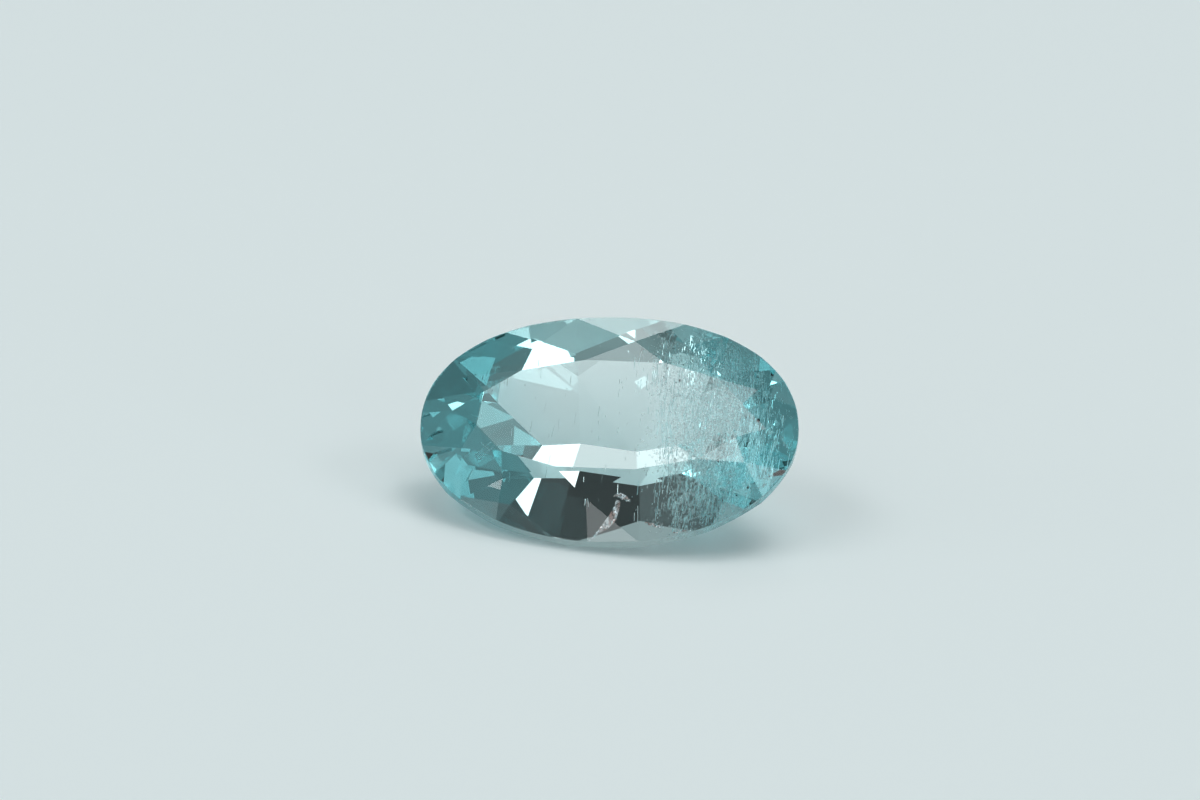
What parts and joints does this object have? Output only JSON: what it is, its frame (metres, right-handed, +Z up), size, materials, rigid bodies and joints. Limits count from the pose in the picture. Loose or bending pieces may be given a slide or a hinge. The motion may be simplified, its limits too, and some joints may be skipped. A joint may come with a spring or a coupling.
{
  "type": "oval cut aquamarine gemstone",
  "caption": "Faceted oval aquamarine, clear pale blue, lying on one flat of its pavilion with the table turned up to the front. For display or to be set in a mounting.",
  "frame": {"origin": "middle of the bounding box's bottom face, on the surface that the stone lies on", "axes": "+X along the oval's length, +Z up, the table faces up and towards -Y, and the +X end is the higher one"},
  "size_m": [0.02, 0.0106, 0.0097],
  "materials": {
    "aquamarine": "polished, clear, pale blue"
  },
  "bodies": {
    "root": {"aquamarine": "aquamarine"}
  },
  "joints": []
}
